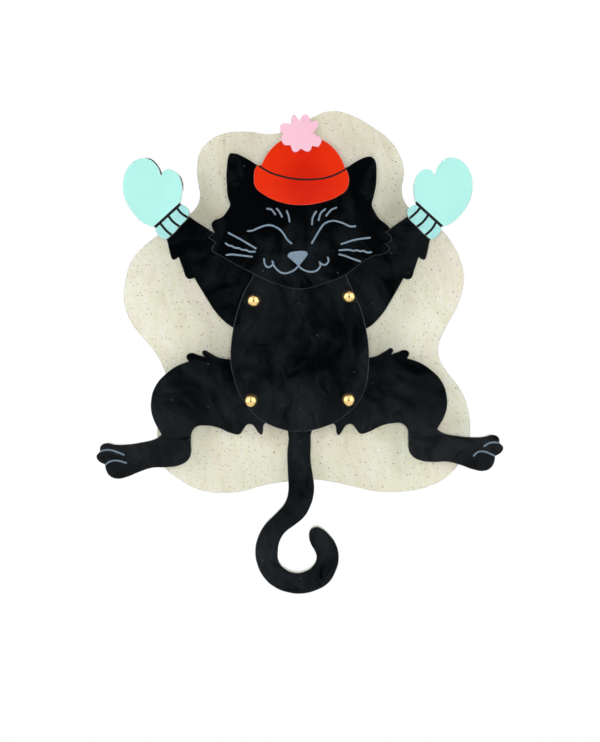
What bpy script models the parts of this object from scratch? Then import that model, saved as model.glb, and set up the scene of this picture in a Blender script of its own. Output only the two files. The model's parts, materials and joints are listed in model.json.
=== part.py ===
"""Articulated cat brooch of layered laser-cut acrylic, worked by its tail.

Frame: metres, +Z up, front faces -Y, x = 0 is the cat's midline. The origin is the middle of
the brooch bar's rear face. Flat outlines are drawn in millimetres, as (x, z) seen from the front.
"""
import math

import bmesh
import bpy
from mathutils import Matrix

MM = 0.001
CORNER = "corner"

# thicknesses, from the wearer forwards
BAR_THICKNESS = 0.0006
BASE_THICKNESS = 0.0030
YOKE_THICKNESS = 0.0025
LIMB_THICKNESS = 0.0020
PLATE_THICKNESS = 0.0020
WASHER_THICKNESS = 0.0004
GAP = 0.0003  # glue line or running clearance between neighbouring pieces

# rear faces of the layers, each one in front of (at a lower y than) the one before
BAR_REAR = 0.0
BASE_REAR = BAR_REAR - BAR_THICKNESS - GAP
YOKE_REAR = BASE_REAR - BASE_THICKNESS - GAP
LIMB_REAR = YOKE_REAR - YOKE_THICKNESS - GAP
TORSO_REAR = LIMB_REAR - LIMB_THICKNESS - GAP
HEAD_REAR = TORSO_REAR - PLATE_THICKNESS - GAP
HAT_REAR = HEAD_REAR - PLATE_THICKNESS - GAP
POMPOM_REAR = HAT_REAR - PLATE_THICKNESS - GAP

# the outlines narrow a little towards the front, about one point on the midline: they have
# the size drawn below at the limbs' front face, and shrink by one part in TAPER_LENGTH
TAPER_LENGTH = 0.30
TAPER_CENTRE = (0.0, -3.0)

# pivots, in millimetres (x, z), and their ball-headed pins
PIVOTS = {
    "arm_left": (-9.7, -8.85),
    "arm_right": (10.05, -8.0),
    "leg_left": (-10.3, -29.65),
    "leg_right": (10.0, -29.45),
}
BALL_RADIUS = 0.00132
SHAFT_RADIUS = 0.0007
HOLE_RADIUS = 0.0009
TAIL_HEAD_RADIUS = 0.0011
WASHER_RADIUS = 0.0018
SPACER_RADIUS = 0.0016

# mechanism: the yoke slides up by its travel, and its slots turn the four limbs
TAIL_TRAVEL = 0.0061
CRANK = {"arm": 0.0050, "leg": 0.0075}  # pivot to drive pin
DRIVE_PIN_RADIUS = 0.0007
SLOT_HALF_HEIGHT = 0.0009
POST_RADIUS = 0.0015
POST_HEIGHTS = (-0.0090, -0.0170)
POST_CLEARANCE = 0.0001

# brooch finding
BAR_HALF_LENGTH = 0.0155
BAR_HALF_WIDTH = 0.0025
PIN_AXIS_Y = 0.0037
HINGE_X = -0.0140
EAR_INNER_Z = 0.00135
EAR_THICKNESS = 0.0005
EAR_HALF_LENGTH = 0.0011
EYE_RADIUS = 0.0011
STEM_RADIUS = 0.0004
POINT_LENGTH = 0.0040
POINT_WAIST = 0.6  # the stem's radius half way along its point, as a part of the full one
RIVET_RADIUS = 0.0004
RIVET_HOLE_RADIUS = 0.0006
RIVET_HEAD_RADIUS = 0.0008
STEM_TIP_X = 0.0172
CATCH_START_X = 0.0125
CATCH_OUTER_RADIUS = 0.0016
CATCH_INNER_RADIUS = 0.0012
CATCH_MOUTH_DEG = 38.0  # half of the angle that the housing is open over
NECK_HALF_WIDTH = 0.0010
NECK_LENGTH = 0.0012
ROLLER_RADIUS = 0.0010
ROLLER_SLOT_HALF = 0.00055
LEVER_REACH = 0.0026
LEVER_THICKNESS = 0.0006

SMOOTH_STEPS = 3  # straight pieces between two outline points
ROUND_SIDES = 16
TURN_STEPS = 16
ARC_STEPS = 12
BALL_STEPS = 8
SMOOTH_ANGLE_DEG = 35.0

# the right limbs are the left ones mirrored, then tilted about a point (degrees) and shifted
RIGHT_ARM_FIT = {"tilt": 1.4, "about": (27.0, 0.0), "shift": (-0.75, 0.0)}
RIGHT_LEG_FIT = {"tilt": 2.9, "about": (10.3, -29.9), "shift": (-0.65, 0.0)}

# how far a hand stands out beside its mitten, and a foot is moved along its leg
LEFT_HAND_SHIFT = (0.5, 0.4)
RIGHT_HAND_SHIFT = (0.0, 0.0)
LEFT_FOOT_SHIFT = (-0.08, 0.15)
RIGHT_FOOT_SHIFT = (0.07, 0.35)

# colour, roughness and metallic
COLOURS = {
    "snow": ((0.76, 0.72, 0.58), 0.25, 0.0),
    "black": ((0.012, 0.013, 0.015), 0.12, 0.0),
    "red": ((0.72, 0.035, 0.012), 0.22, 0.0),
    "pink": ((1.0, 0.60, 0.70), 0.20, 0.0),
    "mint": ((0.48, 0.90, 0.83), 0.20, 0.0),
    "gold": ((0.95, 0.62, 0.22), 0.18, 1.0),
    "steel": ((0.62, 0.61, 0.58), 0.25, 1.0),
    "clear": ((0.80, 0.82, 0.82), 0.15, 0.0),
}

SNOW_OUTLINE = [
    (-21.7, 18.5), (-20.9, 22.7), (-19.4, 24.4), (-16.7, 26.0), (-11.6, 26.6), (-5.6, 26.1),
    (-2.4, 27.2), (2.1, 29.4), (6.5, 30.9), (10.9, 29.9), (14.9, 27.7), (18.6, 24.9),
    (20.9, 21.5), (21.7, 17.9), (21.3, 13.9), (22.6, 10.8), (25.6, 8.6), (29.7, 5.9),
    (32.2, 2.5), (33.7, -0.8), (34.3, -4.6), (33.3, -9.2), (31.6, -12.6), (29.2, -17.5),
    (28.9, -19.8), (29.7, -22.2), (33.5, -27.5), (35.0, -31.0), (35.6, -34.6), (35.5, -37.8),
    (34.6, -41.0), (32.9, -43.7), (30.5, -46.1), (27.3, -47.8), (24.1, -48.7), (19.9, -49.1),
    (16.1, -49.0), (11.7, -48.1), (7.3, -47.1), (2.4, -46.5), (-2.7, -46.9), (-8.0, -47.8),
    (-12.4, -49.0), (-16.5, -49.3), (-19.8, -49.0), (-22.7, -48.1), (-25.7, -46.3),
    (-28.3, -44.3), (-29.6, -42.4), (-30.0, -40.3), (-30.1, -37.2), (-29.9, -31.5),
    (-29.2, -27.0), (-28.4, -24.4), (-28.9, -22.7), (-30.8, -19.3), (-32.2, -17.6),
    (-35.0, -14.3), (-36.6, -10.9), (-37.1, -8.0), (-36.6, -4.2), (-35.6, -0.8), (-32.9, 2.5),
    (-30.8, 4.2), (-27.0, 6.8), (-23.3, 9.2), (-21.6, 11.2), (-21.1, 13.2), (-21.5, 15.9),
]

TORSO_OUTLINE = [
    (0.0, 6.2), (3.5, 5.2), (6.5, 2.6), (8.7, -1.0), (10.0, -4.6), (11.3, -7.4), (12.8, -11.0),
    (13.8, -14.9), (14.3, -18.3), (14.4, -21.3), (14.1, -25.2), (13.3, -28.2), (11.8, -30.8),
    (9.8, -32.7), (7.5, -34.4), (5.1, -35.4), (2.3, -36.2), (0.0, -36.4), (-2.4, -36.3),
    (-5.0, -35.6), (-7.5, -34.5), (-9.7, -32.9), (-11.6, -30.6), (-13.1, -28.0), (-13.9, -25.6),
    (-14.6, -22.8), (-14.7, -20.1), (-14.4, -16.4), (-13.7, -12.8), (-12.7, -9.3), (-11.6, -6.6),
    (-10.4, -4.6), (-8.9, -1.0), (-6.6, 2.6), (-3.5, 5.2),
]

HEAD_OUTLINE = [
    (-14.8, 22.0), (-14.1, 22.05), (-13.3, 21.9), (-12.15, 21.4), (-10.2, 20.3), (-8.9, 19.5),
    (-4.5, 18.6), (0.0, 18.3), (4.8, 18.4), (9.6, 19.05), (11.45, 20.2), (13.5, 21.2),
    (14.2, 21.35), (14.9, 21.3), (15.4, 20.95), (15.8, 20.3), (16.0, 19.0), (16.0, 17.9),
    (15.9, 15.4), (15.5, 13.4), (15.0, 11.2, CORNER), (16.4, 8.5), (18.45, 6.75), (18.8, 6.05),
    (17.9, 5.5, CORNER), (19.0, 4.6), (19.0, 3.6), (17.9, 3.0, CORNER), (18.7, 2.3),
    (18.3, 1.3), (14.9, 0.3), (9.3, -3.6), (4.8, -5.4), (0.1, -6.5), (-5.2, -5.4),
    (-10.1, -3.2), (-17.3, 0.8), (-18.6, 1.6), (-18.4, 2.6), (-17.8, 3.3, CORNER),
    (-19.4, 4.3, CORNER), (-18.1, 5.5, CORNER), (-18.65, 7.4), (-16.3, 8.8),
    (-14.8, 11.2, CORNER), (-15.4, 13.5), (-15.5, 15.2), (-15.6, 17.4), (-15.5, 19.0),
    (-15.4, 20.3), (-15.15, 21.4),
]

HAT_OUTLINE = [
    (-9.1, 19.4), (-9.8, 16.6), (-9.5, 15.0), (-7.9, 13.5), (-3.9, 11.7), (0.1, 11.2),
    (4.2, 11.7), (8.2, 13.2), (9.8, 14.6), (10.2, 16.5), (9.7, 18.5), (9.4, 18.9, CORNER),
    (8.8, 20.5), (6.9, 23.2), (4.5, 24.9), (0.0, 26.2), (-3.9, 24.8), (-6.7, 22.3),
    (-8.2, 19.6, CORNER),
]

POMPOM_OUTLINE = [
    (-1.42, 30.14), (-0.73, 29.5), (-0.2, 28.6, CORNER), (0.05, 29.3), (0.53, 30.0),
    (1.0, 30.2), (1.63, 29.9), (1.94, 29.1), (2.36, 28.55, CORNER), (2.73, 28.8),
    (3.26, 28.93), (3.68, 28.45), (3.57, 27.5), (3.2, 26.9), (2.68, 26.25, CORNER),
    (3.57, 25.7), (4.36, 25.15), (4.46, 24.6), (4.2, 24.0), (3.78, 23.4, CORNER),
    (3.05, 23.47), (2.4, 23.6, CORNER), (2.26, 23.0), (1.89, 22.5), (1.37, 22.4),
    (0.79, 22.6), (0.1, 23.05, CORNER), (-0.42, 22.6), (-1.15, 22.3), (-1.68, 22.6),
    (-1.94, 23.2), (-2.1, 23.73, CORNER), (-2.83, 23.73), (-3.4, 23.8), (-3.9, 24.4),
    (-4.1, 25.0), (-4.0, 25.7), (-3.6, 26.1, CORNER), (-4.1, 26.6), (-4.3, 27.2),
    (-4.2, 27.8), (-3.78, 28.3), (-2.94, 28.3), (-1.94, 28.2, CORNER), (-1.9, 29.1),
    (-1.73, 29.9),
]

MITTEN_OUTLINE = [
    (-37.3, 15.6), (-36.7, 18.2), (-35.3, 20.1), (-33.3, 21.0), (-31.8, 20.8), (-30.1, 19.2),
    (-29.3, 17.2, CORNER), (-28.8, 18.3), (-27.7, 18.7), (-26.2, 18.1), (-25.1, 16.2),
    (-24.9, 13.8), (-25.3, 11.4, CORNER), (-24.1, 10.9), (-23.4, 9.9), (-23.6, 8.8),
    (-25.3, 6.8), (-27.2, 4.8), (-28.4, 4.0), (-29.5, 4.5), (-30.3, 5.5), (-30.5, 6.5, CORNER),
    (-32.0, 6.9), (-33.9, 8.1), (-35.9, 10.6), (-37.0, 13.0),
]

# the arm seen without its mitten: the hand is a little smaller than the mitten that covers it
HAND_OUTLINE = [
    (-25.8, 10.2), (-25.8, 12.0), (-25.2, 13.8), (-25.3, 15.8), (-26.3, 17.4), (-27.7, 17.95),
    (-28.6, 17.6), (-29.3, 16.6, CORNER), (-30.35, 18.95), (-31.9, 20.45), (-33.3, 20.65),
    (-35.1, 19.8), (-36.4, 18.0), (-36.9, 15.6), (-36.6, 13.1), (-35.5, 10.8), (-33.6, 8.5),
    (-31.8, 7.3),
]
SLEEVE_OUTLINE = [
    (-29.3, 6.0), (-28.1, 3.8), (-27.4, 1.0), (-26.8, -0.3), (-26.4, -0.3),
    (-25.6, 0.25, CORNER), (-24.6, -2.5), (-23.95, -4.1), (-23.3, -4.4), (-22.3, -4.15, CORNER),
    (-19.75, -8.4), (-17.35, -11.9), (-14.3, -14.5), (-11.2, -15.4), (-8.0, -14.9),
    (-5.6, -13.9), (-3.9, -12.6), (-4.0, -11.0), (-5.4, -9.9), (-6.6, -7.2), (-9.0, -3.2),
    (-13.5, 1.7), (-18.3, 5.4), (-23.4, 8.8),
]

THIGH_OUTLINE = [
    (-22.75, -36.5), (-21.75, -35.4), (-19.8, -35.2), (-17.4, -35.6), (-14.2, -36.9),
    (-12.8, -37.0), (-12.0, -36.0), (-11.2, -35.0, CORNER), (-10.4, -34.9), (-9.8, -35.3),
    (-8.7, -36.8), (-8.2, -37.1), (-7.9, -36.6), (-7.6, -34.9), (-5.8, -34.4), (-3.6, -34.9),
    (-1.8, -34.0), (-1.6, -32.2), (-3.0, -31.1), (-4.6, -29.6), (-5.8, -26.0), (-8.4, -23.0),
    (-11.5, -21.6), (-14.6, -21.25), (-17.1, -20.85), (-19.2, -19.8), (-20.2, -19.35),
    (-20.7, -19.75), (-20.2, -20.7, CORNER), (-21.5, -20.3), (-23.3, -19.95), (-24.0, -20.65),
    (-23.5, -21.7, CORNER), (-25.7, -22.5), (-28.3, -24.3), (-30.45, -26.8), (-31.4, -29.9),
    (-31.15, -33.1),
]
FOOT_OUTLINE = [
    (-29.15, -37.2, CORNER), (-30.2, -38.0), (-33.1, -38.8), (-36.6, -39.3), (-38.9, -39.3),
    (-40.7, -39.0), (-41.9, -39.6), (-42.1, -40.8, CORNER), (-42.8, -41.8), (-42.3, -42.8),
    (-41.0, -43.5, CORNER), (-40.8, -44.6), (-40.0, -45.9), (-38.5, -46.5), (-36.6, -46.2),
    (-33.6, -45.0), (-31.0, -44.2), (-28.0, -44.1), (-25.15, -43.6), (-23.4, -42.4),
    (-22.9, -41.1), (-22.9, -38.7),
]

# the tail's curl and stem, then the yoke behind the torso
TAIL_OUTLINE = [
    (-2.7, -36.4), (-2.8, -41.1), (-2.65, -45.6), (-2.6, -49.1), (-3.3, -51.4),
    (-5.2, -53.65), (-7.5, -56.0), (-9.0, -58.8), (-9.5, -61.3), (-9.15, -64.1), (-7.6, -67.2),
    (-5.3, -69.2), (-2.7, -70.2), (0.1, -70.5), (3.1, -69.85), (5.85, -68.25), (7.4, -65.75),
    (8.05, -63.0), (7.5, -60.2), (6.0, -58.05), (4.6, -56.85), (3.2, -56.45), (2.05, -57.1),
    (1.78, -58.5), (2.25, -60.2), (3.05, -61.6), (3.35, -63.0), (2.55, -64.7), (0.9, -65.8),
    (-1.0, -66.1), (-3.1, -65.35), (-4.55, -63.7), (-4.72, -61.6), (-4.4, -59.6),
    (-3.3, -57.7), (-1.25, -56.1), (0.75, -54.4), (2.12, -52.0), (2.8, -49.55), (2.88, -47.8),
    (2.6, -45.6), (2.15, -42.5), (2.2, -39.1), (2.4, -36.4),
]
YOKE_OUTLINE = [
    (3.4, -35.3), (5.0, -35.0), (5.7, -34.2), (5.7, -31.8), (4.9, -30.8), (4.0, -28.5),
    (4.0, -16.0), (4.7, -14.0), (7.2, -13.4), (8.0, -12.6), (8.0, -9.9), (7.2, -9.2),
    (4.8, -8.8), (4.0, -7.6), (3.0, -5.9), (0.0, -5.5), (-3.0, -5.9), (-4.0, -7.9),
    (-4.6, -9.4), (-6.8, -9.8), (-7.6, -10.6), (-7.6, -13.2), (-6.8, -14.0), (-4.6, -14.8),
    (-4.0, -17.0), (-4.0, -28.5), (-4.9, -30.8), (-5.8, -31.8), (-5.8, -34.2), (-5.0, -35.0),
    (-3.4, -35.3),
]


def clear_scene():
    for obj in list(bpy.data.objects):
        bpy.data.objects.remove(obj, do_unlink=True)


def make_collection(name):
    collection = bpy.data.collections.new(name)
    bpy.context.scene.collection.children.link(collection)
    return collection


def make_material(name):
    colour, roughness, metallic = COLOURS[name]
    material = bpy.data.materials.new(name)
    material.use_nodes = True
    shader = material.node_tree.nodes["Principled BSDF"]
    shader.inputs["Base Color"].default_value = (*colour, 1.0)
    shader.inputs["Roughness"].default_value = roughness
    shader.inputs["Metallic"].default_value = metallic
    return material


def ring(centre, radius, sides=ROUND_SIDES):
    """A circle as evenly spaced points, in metres."""
    turns = [2 * math.pi * i / sides for i in range(sides)]
    return [(centre[0] + radius * math.cos(a), centre[1] + radius * math.sin(a)) for a in turns]


def stadium(start, end, radius, sides=ROUND_SIDES):
    """A slot with round ends about the points start and end, in metres."""
    along = math.atan2(end[1] - start[1], end[0] - start[0])
    half = sides // 2
    points = []
    for centre, first in ((end, along - math.pi / 2), (start, along + math.pi / 2)):
        for i in range(half + 1):
            a = first + math.pi * i / half
            points.append((centre[0] + radius * math.cos(a), centre[1] + radius * math.sin(a)))
    return points


def moved(outline, tilt=0.0, about=(0.0, 0.0), shift=(0.0, 0.0), mirror=False):
    """An outline in millimetres, mirrored in the midline, tilted about a point and shifted."""
    sign = -1.0 if mirror else 1.0
    cos, sin = math.cos(math.radians(tilt)), math.sin(math.radians(tilt))
    result = []
    for x, z, *kind in outline:
        dx, dz = sign * x - about[0], z - about[1]
        x = about[0] + dx * cos - dz * sin + shift[0]
        z = about[1] + dx * sin + dz * cos + shift[1]
        result.append((x, z, *kind))
    return result


def tapered(outline, front):
    """An outline in millimetres at the size that it has on a layer with this front face."""
    scale = 1 + (front - (LIMB_REAR - LIMB_THICKNESS)) / TAPER_LENGTH
    centre_x, centre_z = TAPER_CENTRE
    return [
        (centre_x + (x - centre_x) * scale, centre_z + (z - centre_z) * scale, *kind)
        for x, z, *kind in outline
    ]


def add_smooth_spline(curve, outline, origin):
    """A closed Bezier outline in millimetres. A point marked CORNER stays sharp."""
    spline = curve.splines.new("BEZIER")
    spline.bezier_points.add(len(outline) - 1)
    spline.use_cyclic_u = True
    spline.resolution_u = SMOOTH_STEPS
    for point, (x, z, *kind) in zip(spline.bezier_points, outline):
        point.co = (x * MM - origin[0], z * MM - origin[1], 0.0)
        handle = "VECTOR" if kind else "AUTO"
        point.handle_left_type = handle
        point.handle_right_type = handle


def add_poly_spline(curve, points, origin):
    """A closed outline of straight pieces, in metres."""
    spline = curve.splines.new("POLY")
    spline.points.add(len(points) - 1)
    spline.use_cyclic_u = True
    for point, (x, z) in zip(spline.points, points):
        point.co = (x - origin[0], z - origin[1], 0.0, 1.0)


def plate(parts, name, material, rear, thickness, outline=(), rounds=(), origin=(0.0, 0.0)):
    """An upright sheet: a smooth outline, round outlines or holes, and its rear face's y."""
    curve = bpy.data.curves.new(name, "CURVE")
    curve.dimensions = "2D"
    curve.fill_mode = "BOTH"
    curve.extrude = thickness / 2
    if outline:
        add_smooth_spline(curve, tapered(outline, rear - thickness), origin)
    for points in rounds:
        add_poly_spline(curve, points, origin)
    obj = bpy.data.objects.new(name, curve)
    obj.location = (origin[0], rear - thickness / 2, origin[1])
    obj.rotation_euler = (math.radians(90), 0.0, 0.0)
    curve.materials.append(material)
    parts.objects.link(obj)
    return obj


def turned(parts, name, material, profile, matrix):
    """A turned piece from (radius, height) points down its outer side, set by a matrix."""
    mesh = bpy.data.meshes.new(name)
    shape = bmesh.new()
    verts = [shape.verts.new((radius, 0.0, height)) for radius, height in profile]
    for first, second in zip(verts, verts[1:]):
        shape.edges.new((first, second))
    shape.to_mesh(mesh)
    shape.free()
    mesh.materials.append(material)
    obj = bpy.data.objects.new(name, mesh)
    obj.matrix_world = matrix
    screw = obj.modifiers.new("turn", "SCREW")
    screw.steps = TURN_STEPS
    screw.render_steps = TURN_STEPS
    screw.use_merge_vertices = True
    screw.merge_threshold = 0.000001
    screw.use_smooth_shade = True
    parts.objects.link(obj)
    return obj


def facing_front(x, z, y=0.0):
    """A turned piece's place: its axis runs forwards, so its height counts along -Y."""
    return Matrix.Translation((x, y, z)) @ Matrix.Rotation(math.radians(90), 4, "X")


def box(collection, name, low, high, material=None):
    mesh = bpy.data.meshes.new(name)
    shape = bmesh.new()
    bmesh.ops.create_cube(shape, size=1.0)
    for vert in shape.verts:
        vert.co = [a + (b - a) * (c + 0.5) for a, b, c in zip(low, high, vert.co)]
    shape.to_mesh(mesh)
    shape.free()
    if material:
        mesh.materials.append(material)
    obj = bpy.data.objects.new(name, mesh)
    collection.objects.link(obj)
    return obj


def cylinder(collection, name, radius, length, matrix, material=None, sides=ROUND_SIDES):
    mesh = bpy.data.meshes.new(name)
    shape = bmesh.new()
    bmesh.ops.create_cone(
        shape, cap_ends=True, segments=sides, radius1=radius, radius2=radius, depth=length
    )
    shape.to_mesh(mesh)
    shape.free()
    mesh.shade_smooth()
    mesh.set_sharp_from_angle(angle=math.radians(SMOOTH_ANGLE_DEG))
    if material:
        mesh.materials.append(material)
    obj = bpy.data.objects.new(name, mesh)
    obj.matrix_world = matrix
    collection.objects.link(obj)
    return obj


def boolean(target, cutter, operation):
    modifier = target.modifiers.new(cutter.name, "BOOLEAN")
    modifier.operation = operation
    modifier.solver = "EXACT"
    modifier.object = cutter
    cutter.hide_render = True
    cutter.display_type = "WIRE"


def drive_pin_place(limb):
    """Where a limb's drive pin is at rest: inwards of its pivot and half the travel below."""
    x, z = (value * MM for value in PIVOTS[limb])
    radius = CRANK[limb.split("_")[0]]
    inwards = 1.0 if x < 0 else -1.0
    drop = TAIL_TRAVEL / 2
    return x + inwards * math.sqrt(radius**2 - drop**2), z - drop


def limb_holes(limb):
    pivot = tuple(value * MM for value in PIVOTS[limb])
    return [ring(pivot, HOLE_RADIUS), ring(drive_pin_place(limb), HOLE_RADIUS)]


def pivot_holes():
    return [ring((x * MM, z * MM), HOLE_RADIUS) for x, z in PIVOTS.values()]


def make_body(parts, materials):
    """The fixed layers: snow base, torso, head, hat and pom-pom."""
    plate(parts, "snow_base", materials["snow"], BASE_REAR, BASE_THICKNESS,
          SNOW_OUTLINE, pivot_holes())
    plate(parts, "torso_plate", materials["black"], TORSO_REAR, PLATE_THICKNESS,
          TORSO_OUTLINE, pivot_holes())
    plate(parts, "head_plate", materials["black"], HEAD_REAR, PLATE_THICKNESS, HEAD_OUTLINE)
    plate(parts, "hat_plate", materials["red"], HAT_REAR, PLATE_THICKNESS, HAT_OUTLINE)
    plate(parts, "pompom_plate", materials["pink"], POMPOM_REAR, PLATE_THICKNESS,
          POMPOM_OUTLINE)


def make_arm(parts, materials, side, fit, hand_shift):
    limb = "arm_" + side
    origin = tuple(value * MM for value in PIVOTS[limb])
    outline = SLEEVE_OUTLINE + moved(HAND_OUTLINE, shift=hand_shift)
    mitten = MITTEN_OUTLINE
    if fit:
        outline = moved(moved(outline, mirror=True), **fit)
        mitten = moved(moved(mitten, mirror=True), **fit)
    plate(parts, limb, materials["black"], LIMB_REAR, LIMB_THICKNESS,
          outline, limb_holes(limb), origin)
    plate(parts, "mitten_" + side, materials["mint"], TORSO_REAR, PLATE_THICKNESS,
          mitten, (), origin)


def make_leg(parts, materials, side, fit, foot_shift):
    limb = "leg_" + side
    origin = tuple(value * MM for value in PIVOTS[limb])
    outline = THIGH_OUTLINE + moved(FOOT_OUTLINE, shift=foot_shift)
    if fit:
        outline = moved(moved(outline, mirror=True), **fit)
    plate(parts, limb, materials["black"], LIMB_REAR, LIMB_THICKNESS,
          outline, limb_holes(limb), origin)


def yoke_slot(limb):
    """A slot for the drive pin, which moves inwards as its crank passes level."""
    x, z = drive_pin_place(limb)
    pivot_x = PIVOTS[limb][0] * MM
    inwards = 1.0 if pivot_x < 0 else -1.0
    level_x = pivot_x + inwards * CRANK[limb.split("_")[0]]
    ends = sorted((x, level_x))
    return stadium((ends[0], z), (ends[1], z), SLOT_HALF_HEIGHT)


def make_tail(parts, materials):
    """The tail with its yoke: four pin slots, and a guide slot as long as posts and travel."""
    guide = stadium(
        (0.0, POST_HEIGHTS[1] - TAIL_TRAVEL),
        (0.0, POST_HEIGHTS[0]),
        POST_RADIUS + POST_CLEARANCE,
    )
    slots = [guide] + [yoke_slot(limb) for limb in PIVOTS]
    plate(parts, "tail_slider", materials["black"], YOKE_REAR, YOKE_THICKNESS,
          TAIL_OUTLINE + YOKE_OUTLINE, slots)


def make_drive_pins(parts, materials):
    """Short pins pressed into the limbs, which reach back into the yoke's slots."""
    front = LIMB_REAR - LIMB_THICKNESS
    length = YOKE_REAR - front
    for limb in PIVOTS:
        x, z = drive_pin_place(limb)
        place = facing_front(x, z, front + length / 2)
        cylinder(parts, "drive_pin_" + limb, DRIVE_PIN_RADIUS, length, place, materials["gold"])


def make_pivots(parts, materials):
    """Ball-headed pins from the torso's face to a peened tail, with spacers and washers."""
    torso_front = TORSO_REAR - PLATE_THICKNESS
    ball_centre = -torso_front + math.sqrt(BALL_RADIUS**2 - HOLE_RADIUS**2) + GAP
    washer_rear = BASE_REAR + GAP + WASHER_THICKNESS
    tail_front = -(washer_rear + GAP)
    tail_rear = tail_front - WASHER_THICKNESS
    neck = math.asin(SHAFT_RADIUS / BALL_RADIUS)
    arc = [(math.pi - neck) * i / BALL_STEPS for i in range(BALL_STEPS + 1)]
    profile = [(BALL_RADIUS * math.sin(a), ball_centre + BALL_RADIUS * math.cos(a)) for a in arc]
    profile += [
        (SHAFT_RADIUS, tail_front),
        (TAIL_HEAD_RADIUS, tail_front),
        (TAIL_HEAD_RADIUS, tail_rear),
        (0.0, tail_rear),
    ]
    for limb, (x, z) in PIVOTS.items():
        place = (x * MM, z * MM)
        turned(parts, "pivot_pin_" + limb, materials["gold"], profile, facing_front(*place))
        hole = ring(place, HOLE_RADIUS)
        plate(parts, "spacer_" + limb, materials["clear"], YOKE_REAR, YOKE_THICKNESS,
              rounds=[ring(place, SPACER_RADIUS), hole])
        plate(parts, "rear_washer_" + limb, materials["gold"], washer_rear, WASHER_THICKNESS,
              rounds=[ring(place, WASHER_RADIUS), hole])


def make_posts(parts, materials):
    """Two round posts that hold the torso off the base, guide the yoke and stop it."""
    front = TORSO_REAR + GAP
    rear = BASE_REAR - BASE_THICKNESS - GAP
    for label, z in zip(("upper", "lower"), POST_HEIGHTS):
        place = facing_front(0.0, z, (front + rear) / 2)
        cylinder(parts, "guide_post_" + label, POST_RADIUS, rear - front, place,
                 materials["clear"])


def along_x(x, y=PIN_AXIS_Y, z=0.0):
    return Matrix.Translation((x, y, z)) @ Matrix.Rotation(math.radians(90), 4, "Y")


def arc_points(radius, start_deg, end_deg, steps):
    """Points on an arc about the origin, as (y, z), from +Y towards +Z."""
    turns = [math.radians(start_deg + (end_deg - start_deg) * i / steps) for i in range(steps + 1)]
    return [(radius * math.cos(a), radius * math.sin(a)) for a in turns]


def extruded_along_x(parts, name, outline, start_x, end_x, material):
    """A (y, z) outline about the pin's axis, extruded from start_x to end_x."""
    mesh = bpy.data.meshes.new(name)
    shape = bmesh.new()
    verts = [shape.verts.new((start_x, PIN_AXIS_Y + y, z)) for y, z in outline]
    face = shape.faces.new(verts)
    pushed = bmesh.ops.extrude_face_region(shape, geom=[face])
    moved_verts = [item for item in pushed["geom"] if isinstance(item, bmesh.types.BMVert)]
    bmesh.ops.translate(shape, verts=moved_verts, vec=(end_x - start_x, 0.0, 0.0))
    bmesh.ops.recalc_face_normals(shape, faces=shape.faces)
    shape.to_mesh(mesh)
    shape.free()
    mesh.materials.append(material)
    obj = bpy.data.objects.new(name, mesh)
    parts.objects.link(obj)
    return obj


def make_brooch_bar(parts, cutters, materials):
    """The bar with two hinge ears at one end, and a neck and open catch ring at the other."""
    bar = box(parts, "brooch_bar", (-BAR_HALF_LENGTH, -BAR_THICKNESS, -BAR_HALF_WIDTH),
              (BAR_HALF_LENGTH, 0.0, BAR_HALF_WIDTH), materials["steel"])
    ear_top = PIN_AXIS_Y + EAR_HALF_LENGTH
    for label, z in (("upper", EAR_INNER_Z), ("lower", -EAR_INNER_Z - EAR_THICKNESS)):
        ear = box(cutters, "ear_" + label,
                  (HINGE_X - EAR_HALF_LENGTH, -BAR_THICKNESS / 2, z),
                  (HINGE_X + EAR_HALF_LENGTH, ear_top, z + EAR_THICKNESS))
        boolean(bar, ear, "UNION")
    neck = box(cutters, "catch_neck",
               (BAR_HALF_LENGTH - NECK_LENGTH, -BAR_THICKNESS / 2, -NECK_HALF_WIDTH),
               (BAR_HALF_LENGTH, PIN_AXIS_Y - CATCH_INNER_RADIUS - GAP / 2, NECK_HALF_WIDTH))
    outline = arc_points(CATCH_OUTER_RADIUS, CATCH_MOUTH_DEG, 360 - CATCH_MOUTH_DEG, ARC_STEPS)
    outline += arc_points(CATCH_INNER_RADIUS, 360 - CATCH_MOUTH_DEG, CATCH_MOUTH_DEG, ARC_STEPS)
    housing = extruded_along_x(cutters, "catch_ring", outline, CATCH_START_X,
                               BAR_HALF_LENGTH, materials["steel"])
    boolean(bar, neck, "UNION")
    boolean(bar, housing, "UNION")
    bore = cylinder(cutters, "rivet_bore", RIVET_HOLE_RADIUS, 4 * BAR_HALF_WIDTH,
                    Matrix.Translation((HINGE_X, PIN_AXIS_Y, 0.0)))
    boolean(bar, bore, "DIFFERENCE")


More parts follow.
